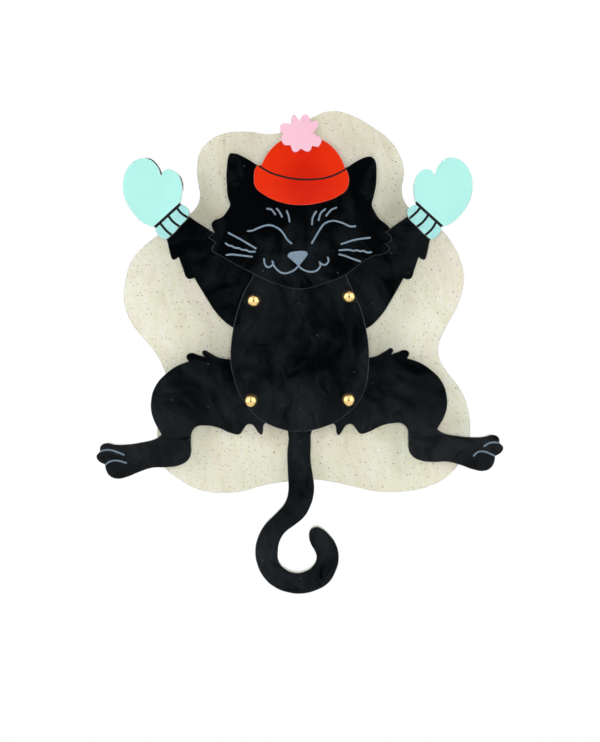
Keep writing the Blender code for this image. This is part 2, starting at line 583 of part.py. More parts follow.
def make_brooch_pin(parts, cutters, materials):
    """The pin stem with its eye, and the rivet that it turns on."""
    eye_half = EAR_INNER_Z - GAP
    place = Matrix.Translation((HINGE_X, PIN_AXIS_Y, 0.0))
    stem = cylinder(parts, "pin_stem", EYE_RADIUS, 2 * eye_half, place, materials["steel"])
    length = STEM_TIP_X - HINGE_X
    profile = [
        (0.0, length),
        (STEM_RADIUS * POINT_WAIST, length - POINT_LENGTH / 2),
        (STEM_RADIUS, length - POINT_LENGTH),
        (STEM_RADIUS, 0.0),
        (0.0, 0.0),
    ]
    wire = turned(cutters, "stem_wire", materials["steel"], profile, along_x(HINGE_X))
    boolean(stem, wire, "UNION")
    bore = cylinder(cutters, "eye_bore", RIVET_HOLE_RADIUS, 4 * eye_half, place)
    boolean(stem, bore, "DIFFERENCE")
    outer = EAR_INNER_Z + EAR_THICKNESS + GAP
    head = outer + WASHER_THICKNESS
    rivet = [
        (0.0, head), (RIVET_HEAD_RADIUS, head), (RIVET_HEAD_RADIUS, outer),
        (RIVET_RADIUS, outer), (RIVET_RADIUS, -outer), (RIVET_HEAD_RADIUS, -outer),
        (RIVET_HEAD_RADIUS, -head), (0.0, -head),
    ]
    turned(parts, "hinge_rivet", materials["steel"], rivet, place)


def make_roller(parts, cutters, materials):
    """The catch's roller, open towards +Y at rest, with a thumb lever outside the ring."""
    start = CATCH_START_X - GAP - LEVER_THICKNESS
    end = BAR_HALF_LENGTH
    roller = cylinder(parts, "catch_roller", ROLLER_RADIUS, end - start,
                      along_x((start + end) / 2), materials["steel"])
    lever = box(cutters, "lever", (start, PIN_AXIS_Y - ROLLER_SLOT_HALF, ROLLER_RADIUS / 2),
                (start + LEVER_THICKNESS, PIN_AXIS_Y + ROLLER_SLOT_HALF, LEVER_REACH))
    boolean(roller, lever, "UNION")
    slot = cylinder(cutters, "roller_slot_floor", ROLLER_SLOT_HALF, 2 * (end - start),
                    along_x((start + end) / 2))
    boolean(roller, slot, "DIFFERENCE")
    mouth = box(cutters, "roller_slot_mouth",
                (start - GAP, PIN_AXIS_Y, -ROLLER_SLOT_HALF),
                (end + GAP, PIN_AXIS_Y + 2 * ROLLER_RADIUS, ROLLER_SLOT_HALF))
    boolean(roller, mouth, "DIFFERENCE")


def main():
    clear_scene()
    parts = make_collection("cat_brooch")
    cutters = make_collection("cutters")
    materials = {name: make_material(name) for name in COLOURS}
    make_body(parts, materials)
    make_arm(parts, materials, "left", None, LEFT_HAND_SHIFT)
    make_arm(parts, materials, "right", RIGHT_ARM_FIT, RIGHT_HAND_SHIFT)
    make_leg(parts, materials, "left", None, LEFT_FOOT_SHIFT)
    make_leg(parts, materials, "right", RIGHT_LEG_FIT, RIGHT_FOOT_SHIFT)
    make_tail(parts, materials)
    make_drive_pins(parts, materials)
    make_pivots(parts, materials)
    make_posts(parts, materials)
    make_brooch_bar(parts, cutters, materials)
    make_brooch_pin(parts, cutters, materials)
    make_roller(parts, cutters, materials)


main()
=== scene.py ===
"""Looks of the articulated cat brooch: smooth polished sheets with engraved, paint-filled lines,
pearl and plain acrylics, gold ball pins and a nickel brooch finding, in soft studio light.

Metres, in the frame's axes: +Z up, front faces -Y. Lines are drawn in millimetres as (x, z).
"""
import json
import math

import bmesh
import bpy
from mathutils import Matrix, Vector

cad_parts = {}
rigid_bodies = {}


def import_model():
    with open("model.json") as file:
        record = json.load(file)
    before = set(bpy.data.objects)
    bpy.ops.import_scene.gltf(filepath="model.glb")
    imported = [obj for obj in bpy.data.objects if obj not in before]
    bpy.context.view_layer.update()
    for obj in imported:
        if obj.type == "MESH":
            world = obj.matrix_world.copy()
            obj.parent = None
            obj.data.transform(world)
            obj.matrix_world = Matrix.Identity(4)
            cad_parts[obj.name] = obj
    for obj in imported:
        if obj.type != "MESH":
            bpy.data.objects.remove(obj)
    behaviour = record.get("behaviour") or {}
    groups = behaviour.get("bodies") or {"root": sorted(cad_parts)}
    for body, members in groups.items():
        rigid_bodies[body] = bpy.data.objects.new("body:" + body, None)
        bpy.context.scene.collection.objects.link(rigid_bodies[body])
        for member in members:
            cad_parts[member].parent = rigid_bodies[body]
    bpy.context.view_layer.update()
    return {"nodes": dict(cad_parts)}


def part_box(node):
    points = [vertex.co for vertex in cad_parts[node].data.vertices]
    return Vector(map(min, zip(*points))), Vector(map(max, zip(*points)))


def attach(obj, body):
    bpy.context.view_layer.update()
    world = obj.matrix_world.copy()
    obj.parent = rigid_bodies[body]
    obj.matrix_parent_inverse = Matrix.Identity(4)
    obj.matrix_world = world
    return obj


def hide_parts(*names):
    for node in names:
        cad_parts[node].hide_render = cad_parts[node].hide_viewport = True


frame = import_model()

MM = 0.001

# drawing
TAPER_LENGTH = 0.30  # the drawn sizes hold at the limbs' front face, and shrink forwards
TAPER_CENTRE = (0.0, -3.0)
LIMB_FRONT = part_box("arm_left")[0].y
CORNER_DEG = 48.0  # an outline stays sharp where it turns by more than this
OUTLINE_STEP = 0.00028
EDGE_RADIUS = 0.00012  # flame-polished edge of a sheet
BASE_EDGE_RADIUS = 0.00020
GLUE_SHARE = 0.86  # width of a glue film, as a part of the piece that it holds
GLUE_LIMIT = 0.96  # the same for the piece that it lies on
GLUE_CLEARANCE = 0.00001
EDGE_STEPS = 2
BROKEN_EDGE = 0.00005  # on the small metal and clear pieces
BROKEN_EDGE_DEG = 50.0
MERGE_DISTANCE = 0.000001
FACE_TOLERANCE = 0.00001  # how far off a sheet's front plane its corners may lie
FLAT_NORMAL = 0.9995  # a face with a |normal.y| above this is a sheet's front or rear
SHEET_SHARP_DEG = 32.0
BALL_SHARP_DEG = 40.0

# engraving
PAINT_WIDTH = 0.00039
TOE_WIDTH = 0.00036
FOLD_WIDTH = 0.00040
WRIST_WIDTH = 0.00060
RIB_WIDTH = 0.00052
ENGRAVING_DEPTH = 0.00022
CUTTER_RISE = 0.00039  # how far the cutter stands out of the sheet
STROKE_STEP = 0.00012
STROKE_CORNER_DEG = 100.0
AREA_CORNER_DEG = 60.0
CAP_STEPS = 8  # straight pieces in a line's round end
PAINT_RECESS = 0.00004
PAINT_INSET = 0.00001

# ball-headed pins, from the collar behind the back sheet
PIN_SHAFT = 0.0007
PIN_FILLET = (0.00006, 0.00008)  # between shaft and collar, out and up
PIN_COLLAR = 0.0004
PIN_TAIL = 0.0011
PIN_TAIL_ROUND = 0.00012
PIN_TAIL_DOME = ((1.0, 0.00018), (0.72, 0.00004), (0.35, 0.0), (0.0, 0.0))
BALL_STEPS = 28
TURN_STEPS = 48

# camera: level, opposite the cat's collar, with the picture's middle further down
CAMERA_DISTANCE = 0.30
CAMERA_PLACE = (-0.0001, -0.003)
PICTURE_MIDDLE = -0.0237
CAMERA_LENS = 69.3
SENSOR = 36.0
CLIP_START = 0.01

# studio
FLOOR_HEIGHT = -0.165
FLOOR_NEAR, FLOOR_FAR, FLOOR_SIDE = -0.36, 0.15, 0.45
SHADE_ANGLES = (13.0, 20.0)  # the dark opening that the camera looks through, and its soft rim
SHADE_LIFT = -0.055
SHADE_LEVEL = 0.02
PANEL_EDGE = (0.20, 0.40)  # how far to the side the two bright reflector panels begin
PANEL_TOP = (0.62, 0.88)
PANEL_LEVEL = 1.8
FRONT_LEVEL = 0.75
BACK_LEVEL = 0.9
SIDE_BLEND = 0.15  # how far to each side of the object's plane the front and back mix
HAZE_ANGLES = (16.0, 34.0)  # the bright wall straight behind the brooch
HAZE_LEVEL = 1.3
LIT_HEIGHT = -0.02  # the lights point at the limbs' plane at this height
LIGHTS = {
    # name: (place, width, brightness that it gives a white sheet that faces it)
    "fill": ((-0.0001, -0.309, -0.003), 0.07, 0.44),
    "left": ((-0.42, -0.45, 0.12), 0.35, 0.22),
    "right": ((0.42, -0.45, 0.10), 0.35, 0.20),
    "top": ((0.0, -0.12, 0.60), 0.45, 0.55),
    "back_left": ((-0.40, 0.45, 0.15), 0.40, 0.55),
    "back_right": ((0.40, 0.45, 0.10), 0.40, 0.55),
}

PAINTED_WALL_REFLECTION = (0.42, 0.41, 0.33)  # cut walls coloured pale: a painted reflection of the top light

ACRYLIC_IOR = 1.49
PAINTED_LIGHT_HEIGHTS = (-0.018, -0.040)  # painted light: the black sheets get paler downwards, from here to there

BODY_OF_PLATE = {
    "snow_base": "base",
    "torso_plate": "base",
    "head_plate": "base",
    "hat_plate": "base",
    "pompom_plate": "base",
    "arm_left": "arm_left",
    "arm_right": "arm_right",
    "mitten_left": "arm_left",
    "mitten_right": "arm_right",
    "leg_left": "leg_left",
    "leg_right": "leg_right",
    "tail_slider": "tail",
}

FACE_LINES = [
    [(-7.0, 10.4), (-6.1, 10.2), (-5.3, 9.2)],
    [(-5.0, 10.4), (-4.4, 9.7), (-3.9, 8.7)],
    [(-2.9, 9.9), (-2.5, 8.9), (-2.3, 7.7)],
    [(3.3, 9.8), (2.6, 8.6), (2.4, 7.1)],
    [(5.2, 10.3), (4.3, 9.5), (3.8, 8.0)],
    [(7.5, 10.6), (6.4, 10.1), (5.4, 8.9)],
    [(-11.1, 5.7), (-10.1, 5.8), (-8.7, 6.4), (-7.4, 6.85), (-6.2, 6.9), (-5.1, 6.5),
     (-4.2, 5.9), (-3.4, 4.9), (-2.8, 3.9), (-1.9, 3.1)],
    [(2.4, 3.2), (3.4, 4.9), (4.2, 6.2), (5.1, 7.3), (6.8, 7.85), (8.8, 7.4), (10.4, 6.7),
     (11.5, 6.7)],
    [(-0.4, -1.6), (-1.2, -2.4), (-2.2, -2.95), (-3.3, -3.2), (-4.2, -2.95), (-5.0, -2.35),
     (-5.6, -1.5), (-5.9, -0.65)],
    [(-5.75, -1.3), (-6.5, -1.85), (-7.1, -1.8), (-7.5, -1.2), (-7.65, -0.2)],
    [(-0.4, -1.6), (0.2, -2.2), (1.1, -2.65), (2.25, -2.87), (3.3, -2.65), (3.95, -2.05),
     (4.2, -1.45), (4.05, -0.85)],
    [(4.2, -1.15), (5.2, -1.4), (5.9, -0.6), (5.75, 0.15)],
    [(-15.1, 5.3), (-13.2, 4.3), (-11.3, 3.2), (-9.4, 2.05)],
    [(-15.7, 3.1), (-15.0, 2.67), (-14.4, 2.54), (-13.7, 2.16), (-12.9, 2.1), (-12.2, 1.74),
     (-11.4, 1.71), (-10.8, 1.4), (-9.6, 1.37)],
    [(-15.5, 0.65), (-14.6, 0.78), (-12.9, 0.63), (-10.2, 0.3)],
    [(8.6, 2.96), (10.1, 3.47), (11.4, 3.84), (12.9, 4.1), (14.6, 4.3)],
    [(8.15, 1.66), (9.3, 1.74), (10.4, 1.74), (11.1, 1.55), (11.8, 1.66), (12.6, 1.45),
     (13.3, 1.53), (14.0, 1.2), (14.85, 1.26)],
    [(8.15, 0.8), (9.3, 0.5), (10.8, -0.07), (12.5, -0.66)],
]
NOSE_OUTLINE = [
    (-2.7, 0.7), (-2.3, 1.15), (-0.9, 1.45), (0.6, 1.52), (1.35, 1.35), (1.5, 0.8),
    (0.9, -0.1), (0.2, -1.0), (-0.4, -1.65), (-1.2, -1.0), (-2.0, -0.3), (-2.6, 0.25),
]
HAT_LINES = [
    [(-8.6, 19.3), (-6.6, 18.1), (-4.3, 17.3), (-1.5, 16.7), (1.0, 16.5), (3.4, 16.6),
     (5.6, 16.95), (7.7, 17.7), (9.7, 18.8)],
]
TOE_LINES = {
    "left": [
        [(-42.4, -40.7), (-41.2, -40.35), (-40.0, -40.3), (-38.3, -40.8), (-37.1, -41.3)],
        [(-41.3, -43.6), (-40.0, -42.7), (-38.6, -42.5), (-36.6, -43.0)],
    ],
    "right": [
        [(38.6, -39.5), (39.5, -38.9), (40.6, -38.7), (42.0, -38.8)],
        [(36.4, -41.5), (37.3, -40.7), (38.5, -40.6), (39.7, -41.0), (41.3, -41.8)],
    ],
}
CUFF_LINES = {
    "left": [
        [(-30.8, 6.3), (-25.0, 11.6)],
        [(-26.0, 10.6), (-25.2, 9.6), (-24.3, 8.9), (-23.4, 8.4)],
        [(-27.8, 9.0), (-27.1, 8.0), (-26.2, 7.2), (-25.1, 6.5)],
        [(-29.5, 7.4), (-28.8, 6.5), (-28.0, 5.6), (-27.0, 4.8)],
    ],
    "right": [
        [(24.3, 11.6), (30.0, 6.4)],
        [(25.2, 10.7), (24.6, 9.9), (23.9, 9.2), (23.1, 8.5)],
        [(26.9, 9.2), (26.3, 8.3), (25.5, 7.4), (24.6, 6.7)],
        [(28.5, 7.7), (28.0, 6.7), (27.3, 5.8), (26.4, 5.0)],
    ],
}

HAT_SHADE_DARKEST = (0.0012, 0.0150)  # where the painted shade on the red is darkest, in metres
# flakes in the back sheet: cells a metre, radius as a share of a cell, share of the cells left
# out, colour, strength
FLAKES = [
    (760.0, 0.066, 0.20, (0.200, 0.175, 0.100), 0.62),
    (430.0, 0.031, 0.12, (0.030, 0.027, 0.018), 0.95),
    (560.0, 0.047, 0.15, (0.940, 0.760, 0.300), 0.78),
    (250.0, 0.024, 0.86, (0.900, 0.450, 0.080), 0.85),
    (300.0, 0.028, 0.80, (0.960, 0.980, 0.960), 0.75),
]
# shaded hollows of the back sheet between the pieces in front: x, z, reach, strength
POCKETS = [
    (-20.3, 7.2, 6.5, 0.20),
    (20.8, 8.0, 6.5, 0.28),
    (-5.0, -35.8, 3.6, 0.25),
    (5.0, -35.8, 3.2, 0.20),
    (0.0, -60.0, 42.0, 0.14),
]


# ---------------------------------------------------------------- drawing and solids


def on_layer(points, front):
    """Drawn points in millimetres as metres on the layer whose front face is at this y."""
    scale = 1 + (front - LIMB_FRONT) / TAPER_LENGTH
    centre_x, centre_z = TAPER_CENTRE
    return [
        ((centre_x + (x - centre_x) * scale) * MM, (centre_z + (z - centre_z) * scale) * MM)
        for x, z in points
    ]


def node_loops(name):
    """The outline and hole loops of a CAD sheet's front face, as lists of (x, z)."""
    mesh = frame["nodes"][name].data
    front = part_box(name)[0].y
    shape = bmesh.new()
    shape.from_mesh(mesh)
    bmesh.ops.remove_doubles(shape, verts=shape.verts, dist=2 * MERGE_DISTANCE)
    others = [
        face for face in shape.faces
        if any(abs(vertex.co.y - front) >= FACE_TOLERANCE for vertex in face.verts)
    ]
    bmesh.ops.delete(shape, geom=others, context="FACES")
    following = {}
    for edge in shape.edges:
        if len(edge.link_faces) == 1:
            following.setdefault(edge.verts[0], []).append(edge.verts[1])
            following.setdefault(edge.verts[1], []).append(edge.verts[0])
    loops = []
    remaining = set(following)
    while remaining:
        start = min(remaining, key=lambda vertex: vertex.index)
        loop = [start]
        remaining.discard(start)
        while True:
            ahead = [vertex for vertex in following[loop[-1]] if vertex in remaining]
            if not ahead:
                break
            loop.append(ahead[0])
            remaining.discard(ahead[0])
        loops.append([(vertex.co.x, vertex.co.z) for vertex in loop])
    shape.free()
    return sorted(loops, key=lambda loop: -abs(area(loop)))


def area(loop):
    """Signed area of a closed loop of (x, z) points."""
    return sum(a[0] * b[1] - b[0] * a[1] for a, b in zip(loop, loop[1:] + loop[:1])) / 2


def turn_deg(a, b, c):
    """How far a path through three points turns at the middle one."""
    first, second = Vector(b) - Vector(a), Vector(c) - Vector(b)
    if first.length == 0 or second.length == 0:
        return 0.0
    return math.degrees(first.angle(second))


def centripetal(p0, p1, p2, p3, t):
    """A point a share t of the way from p1 to p2 on a centripetal Catmull-Rom curve."""
    knots = [0.0]
    for a, b in ((p0, p1), (p1, p2), (p2, p3)):
        knots.append(knots[-1] + max((b - a).length, 1e-9) ** 0.5)
    at = knots[1] + (knots[2] - knots[1]) * t
    a1 = p0 + (p1 - p0) * ((at - knots[0]) / (knots[1] - knots[0]))
    a2 = p1 + (p2 - p1) * ((at - knots[1]) / (knots[2] - knots[1]))
    a3 = p2 + (p3 - p2) * ((at - knots[2]) / (knots[3] - knots[2]))
    b1 = a1 + (a2 - a1) * ((at - knots[0]) / (knots[2] - knots[0]))
    b2 = a2 + (a3 - a2) * ((at - knots[1]) / (knots[3] - knots[1]))
    return b1 + (b2 - b1) * ((at - knots[1]) / (knots[2] - knots[1]))


def smooth_path(points, closed, step, corner_deg=CORNER_DEG):
    """A fine path through the points, rounded except at corners and open ends."""
    path = [Vector(p) for p in points]
    count = len(path)
    sharp = [
        turn_deg(path[i - 1], path[i], path[(i + 1) % count]) > corner_deg for i in range(count)
    ]
    if not closed:
        sharp[0] = sharp[-1] = True
    result = []
    for i in range(count if closed else count - 1):
        p1, p2 = path[i], path[(i + 1) % count]
        p0 = p1 * 2 - p2 if sharp[i] else path[i - 1]
        p3 = p2 * 2 - p1 if sharp[(i + 1) % count] else path[(i + 2) % count]
        pieces = max(1, round((p2 - p1).length / step))
        result += [centripetal(p0, p1, p2, p3, k / pieces) for k in range(pieces)]
    if not closed:
        result.append(path[-1])
    return [tuple(p) for p in result]


def mesh_object(name, mesh):
    obj = bpy.data.objects.new(name, mesh)
    bpy.context.scene.collection.objects.link(obj)
    return obj


def solid_from_loops(name, loops, front, rear, edge):
    """A sheet between two y values from closed loops of (x, z), its edges rounded by edge."""
    curve = bpy.data.curves.new(name, "CURVE")
    curve.dimensions = "2D"
    curve.fill_mode = "BOTH"
    curve.extrude = (rear - front) / 2 - edge
    curve.bevel_depth = edge
    curve.bevel_resolution = EDGE_STEPS if edge else 0
    curve.offset = -edge
    for loop in loops:
        spline = curve.splines.new("POLY")
        spline.points.add(len(loop) - 1)
        spline.use_cyclic_u = True
        for point, (x, z) in zip(spline.points, loop):
            point.co = (x, z, 0.0, 1.0)
    holder = mesh_object(name + "_curve", curve)
    bpy.context.view_layer.update()
    evaluated = holder.evaluated_get(bpy.context.evaluated_depsgraph_get())
    mesh = bpy.data.meshes.new_from_object(evaluated)
    bpy.data.objects.remove(holder, do_unlink=True)
    bpy.data.curves.remove(curve)
    turn = Matrix.Rotation(math.radians(90), 4, "X")
    mesh.transform(Matrix.Translation((0.0, (front + rear) / 2, 0.0)) @ turn)
    shape = bmesh.new()
    shape.from_mesh(mesh)
    bmesh.ops.remove_doubles(shape, verts=shape.verts, dist=MERGE_DISTANCE)
    bmesh.ops.dissolve_degenerate(shape, edges=shape.edges, dist=MERGE_DISTANCE / 2)
    bmesh.ops.recalc_face_normals(shape, faces=shape.faces)
    shape.to_mesh(mesh)
    shape.free()
    mesh.name = name
    mesh.materials.clear()
    return mesh_object(name, mesh)


def shade(obj, angle=SHEET_SHARP_DEG):
    """Smooth shading, with the flat front and rear faces kept flat up to their edges."""
    mesh = obj.data
    mesh.shade_smooth()
    mesh.set_sharp_from_angle(angle=math.radians(angle))
    on_cap = {}
    for face in mesh.polygons:
        if abs(face.normal.y) > FLAT_NORMAL:
            for vertex in face.vertices:
                on_cap[vertex] = face.normal.copy()
    normals = [corner.vector.copy() for corner in mesh.corner_normals]
    limit = math.cos(math.radians(angle))
    for face in mesh.polygons:
        for corner in face.loop_indices:
            cap = on_cap.get(mesh.loops[corner].vertex_index)
            if cap is not None and face.normal.dot(cap) > limit:
                normals[corner] = cap
    mesh.normals_split_custom_set(normals)


def stroke_outline(points, width):
    """The closed outline of a line of this width with round ends along smoothed points."""
    path = [Vector(p) for p in smooth_path(points, False, STROKE_STEP, STROKE_CORNER_DEG)]
    sides = []
    for i, p in enumerate(path):
        along = (path[min(i + 1, len(path) - 1)] - path[max(i - 1, 0)]).normalized()
        sides.append((p, Vector((-along.y, along.x))))
    half = width / 2
    outline = [p + side * half for p, side in sides]
    for (p, side), sign in ((sides[-1], 1), (sides[0], -1)):
        start = math.atan2(side.y * sign, side.x * sign)
        for k in range(1, CAP_STEPS):
            a = start - math.pi * k / CAP_STEPS
            outline.append(p + Vector((math.cos(a), math.sin(a))) * half)
        if sign == 1:
            outline += [q - s * half for q, s in reversed(sides)]
    return [tuple(p) for p in outline]


def apply_boolean(obj, other, operation):
    """Applies a Boolean to obj and removes the other object."""
    modifier = obj.modifiers.new("cut", "BOOLEAN")
    modifier.operation = operation
    modifier.solver = "EXACT"
    modifier.use_self = operation == "UNION"
    modifier.object = other
    bpy.context.view_layer.update()
    evaluated = obj.evaluated_get(bpy.context.evaluated_depsgraph_get())
    mesh = bpy.data.meshes.new_from_object(evaluated)
    obj.modifiers.remove(modifier)
    old = obj.data
    obj.data = mesh
    mesh.name = obj.name
    bpy.data.meshes.remove(old)
    bpy.data.objects.remove(other, do_unlink=True)


def joined_outlines(name, outlines, front, rear):
    """Overlapping closed outlines as one solid between two y values."""
    result = solid_from_loops(name, [outlines[0]], front, rear, 0.0)
    for number, outline in enumerate(outlines[1:]):
        other = solid_from_loops(f"{name}_{number}", [outline], front, rear, 0.0)
        apply_boolean(result, other, "UNION")
    return result


def engrave(plate, name, lines, width, material, body, areas=(), first_width=None):
    """Cuts lines into a sheet's front face and fills them with paint just below the face."""
    front = min(v.co.y for v in plate.data.vertices)
    widths = [first_width or width] + [width] * (len(lines) - 1)
    paths = [on_layer(line, front) for line in lines]
    wide = [stroke_outline(path, w) for path, w in zip(paths, widths)]
    narrow = [stroke_outline(path, w - 2 * PAINT_INSET) for path, w in zip(paths, widths)]
    for points in areas:
        outline = smooth_path(on_layer(points, front), True, OUTLINE_STEP, AREA_CORNER_DEG)
        wide.append(outline)
        narrow.append(outline)
    cutter = joined_outlines(name + "_cutter", wide, front - CUTTER_RISE,
                             front + ENGRAVING_DEPTH)
    uncut = plate.data.copy()
    apply_boolean(plate, cutter, "DIFFERENCE")
    paint = joined_outlines(name, narrow, front + PAINT_RECESS,
                            front + ENGRAVING_DEPTH + PAINT_INSET)
    apply_boolean(paint, mesh_object(name + "_limit", uncut), "INTERSECT")
    shade(paint)
    paint.data.materials.append(material)
    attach(paint, body)


# ---------------------------------------------------------------- materials


class Look:
    """A node material, with short ways to add nodes."""

    def __init__(self, name, roughness, metallic=0.0):
        self.material = bpy.data.materials.new(name)
        self.material.use_nodes = True
        self.tree = self.material.node_tree
        self.shader = self.tree.nodes["Principled BSDF"]
        self.shader.inputs["Roughness"].default_value = roughness
        self.shader.inputs["Metallic"].default_value = metallic
        self.shader.inputs["IOR"].default_value = ACRYLIC_IOR
        self.place = self.tree.nodes.new("ShaderNodeTexCoord").outputs["Object"]

    def link(self, source, target):
        self.tree.links.new(source, target)

    def stretch(self, scale, turn=(0.0, 0.0, 0.0), place=None):
        """Object coordinates, or others, turned and then scaled along each axis."""
        turned = self.tree.nodes.new("ShaderNodeVectorRotate")
        turned.rotation_type = "EULER_XYZ"
        turned.inputs["Rotation"].default_value = turn
        self.link(place or self.place, turned.inputs["Vector"])
        scaled = self.tree.nodes.new("ShaderNodeVectorMath")
        scaled.operation = "MULTIPLY"
        scaled.inputs[1].default_value = scale
        self.link(turned.outputs["Vector"], scaled.inputs[0])
        return scaled.outputs["Vector"]

    def warp(self, place, scale, amount):
        """Coordinates pushed about by slow noise, by up to half the amount in metres."""
        node = self.tree.nodes.new("ShaderNodeTexNoise")
        node.inputs["Scale"].default_value = scale
        node.inputs["Detail"].default_value = 1.0
        self.link(place, node.inputs["Vector"])
        push = self.tree.nodes.new("ShaderNodeVectorMath")
        push.operation = "MULTIPLY_ADD"
        push.inputs[1].default_value = (amount, amount, amount)
        self.link(node.outputs["Color"], push.inputs[0])
        self.link(place, push.inputs[2])
        return push.outputs["Vector"]

    def noise(self, vector, scale, detail=2.0, roughness=0.5, distortion=0.0):
        node = self.tree.nodes.new("ShaderNodeTexNoise")
        node.inputs["Scale"].default_value = scale
        node.inputs["Detail"].default_value = detail
        node.inputs["Roughness"].default_value = roughness
        node.inputs["Distortion"].default_value = distortion
        self.link(vector, node.inputs["Vector"])
        return node.outputs["Fac"]

    def cells(self, scale, turn=0.0):
        """Distance to the nearest of points scattered over the sheet, and a random colour each."""
        flat = self.stretch((1.0, 1.0, 0.0), (math.radians(90), turn, 0.0))
        node = self.tree.nodes.new("ShaderNodeTexVoronoi")
        node.voronoi_dimensions = "2D"
        node.inputs["Scale"].default_value = scale
        self.link(flat, node.inputs["Vector"])
        return node.outputs["Distance"], node.outputs["Color"]

    def ramp(self, value, low, high, start=0.0, end=1.0, smooth=False):
        node = self.tree.nodes.new("ShaderNodeMapRange")
        node.interpolation_type = "SMOOTHSTEP" if smooth else "LINEAR"
        node.inputs["From Min"].default_value = low
        node.inputs["From Max"].default_value = high
        node.inputs["To Min"].default_value = start
        node.inputs["To Max"].default_value = end
        self.link(value, node.inputs["Value"])
        return node.outputs["Result"]

    def math(self, operation, first, second=None):
        node = self.tree.nodes.new("ShaderNodeMath")
        node.operation = operation
        for socket, value in zip(node.inputs, (first, second)):
            if value is None:
                continue
            if isinstance(value, (int, float)):
                socket.default_value = value
            else:
                self.link(value, socket)
        return node.outputs["Value"]

    def mix(self, factor, first, second):
        """Two colours mixed, each a tuple or a socket."""
        node = self.tree.nodes.new("ShaderNodeMix")
        node.data_type = "RGBA"
        self.link(factor, node.inputs["Factor"])
        for name, value in (("A", first), ("B", second)):
            socket = [s for s in node.inputs if s.name == name and s.type == "RGBA"][0]
            if isinstance(value, tuple):
                socket.default_value = (*value, 1.0)
            else:
                self.link(value, socket)
        return [s for s in node.outputs if s.type == "RGBA"][0]

    def split(self, vector):
        node = self.tree.nodes.new("ShaderNodeSeparateXYZ")
        self.link(vector, node.inputs["Vector"])
        return node.outputs

    def distance(self, x, z):
        """How far off a place on the sheet is."""
        flat = self.stretch((1.0, 0.0, 1.0))
        node = self.tree.nodes.new("ShaderNodeVectorMath")
        node.operation = "DISTANCE"
        node.inputs[1].default_value = (x, 0.0, z)
        self.link(flat, node.inputs[0])
        return node.outputs["Value"]

    def front_face(self):
        """1 where a sheet faces the front, 0 behind it."""
        node = self.tree.nodes.new("ShaderNodeTexCoord")
        return self.ramp(self.split(node.outputs["Normal"])["Y"], -0.9, -0.3, 1.0, 0.0)

    def side_wall(self, low=0.35, high=0.75, strength=1.0):
        """The strength on the cut walls of a sheet, 0 on its faces."""
        node = self.tree.nodes.new("ShaderNodeTexCoord")
        across = self.math("ABSOLUTE", self.split(node.outputs["Normal"])["Y"])
        return self.ramp(across, low, high, strength, 0.0)

    def bump(self, height, strength, distance):
        node = self.tree.nodes.new("ShaderNodeBump")
        node.inputs["Strength"].default_value = strength
        node.inputs["Distance"].default_value = distance
        self.link(height, node.inputs["Height"])
        self.link(node.outputs["Normal"], self.shader.inputs["Normal"])

    def colour(self, source):
        self.link(source, self.shader.inputs["Base Color"])

    def cut_marks(self, strength=0.25):
        """Fine ridges that a laser leaves on cut walls, and a faint orange peel on faces."""
        ridges = self.noise(self.stretch((9000.0, 260.0, 9000.0)), 1.0, 2.0)
        peel = self.noise(self.place, 900.0, 1.0)
        wall = self.side_wall()
        height = self.math(
            "ADD", self.math("MULTIPLY", ridges, wall), self.math("MULTIPLY", peel, 0.02)
        )
        self.bump(height, strength, 0.00002)


def black_pearl(name, turn=0.0, lift=0.0, painted_light_amount=0.42, wall=(0.074, 0.088, 0.088)):
    """Near-black acrylic: grey-blue wisps, curled dark veins and a few pale grains; painted light
    makes it paler towards the bottom, and pale walls, where given, are a painted reflection.
    """
    look = Look(name, 0.06)
    grain = (0.0, turn, 0.0)
    coils = look.warp(look.place, 62.0, 0.0120)
    coils = look.warp(coils, 150.0, 0.0058)
    coils = look.warp(coils, 380.0, 0.0018)
    wisps = look.noise(look.stretch((190.0, 190.0, 80.0), grain, coils), 1.0, 4.0, 0.6)
    hairs = look.noise(look.stretch((760.0, 760.0, 170.0), grain, coils), 1.0, 2.0, 0.5)
    clouds = look.noise(look.place, 50.0, 2.0)
    fold = look.noise(look.stretch((120.0, 120.0, 70.0), grain, coils), 1.0, 1.0)
    vein = look.ramp(look.math("ABSOLUTE", look.math("SUBTRACT", fold, 0.5)), 0.0, 0.028, 1.0, 0.0)
    where = look.ramp(look.noise(look.place, 130.0, 1.0), 0.50, 0.62)
    depth = look.math("ADD", look.ramp(wisps, 0.34, 0.70), look.ramp(hairs, 0.4, 0.8, 0.0, 0.20))
    depth = look.math("ADD", depth, look.ramp(clouds, 0.35, 0.70, -0.25, 0.20))
    depth = look.math("SUBTRACT", depth, look.math("MULTIPLY", vein, look.ramp(where, 0, 1, 0, 0.5)))
    # painted light: the sheet gets paler towards the bottom
    painted_light_mask = look.ramp(look.split(look.place)["Z"], *PAINTED_LIGHT_HEIGHTS, 0.0, painted_light_amount, smooth=True)
    depth = look.math("ADD", depth, look.math("ADD", painted_light_mask, lift))
    shade_colour = look.mix(painted_light_mask, (0.0165, 0.0215, 0.0240), (0.0190, 0.0205, 0.0225))
    base = look.mix(look.ramp(depth, 0.05, 1.45), (0.0010, 0.0015, 0.0020), shade_colour)
    distance, tint = look.cells(260.0)
    speck = look.ramp(distance, 0.020, 0.036, 1.0, 0.0)
    chosen = look.ramp(look.split(tint)["X"], 0.88, 0.90)
    base = look.mix(look.math("MULTIPLY", speck, chosen), base, (0.085, 0.092, 0.090))
    base = look.mix(look.side_wall(0.35, 0.75, 0.9), base, wall)
    look.colour(base)
    look.cut_marks(0.12)
    return look.material


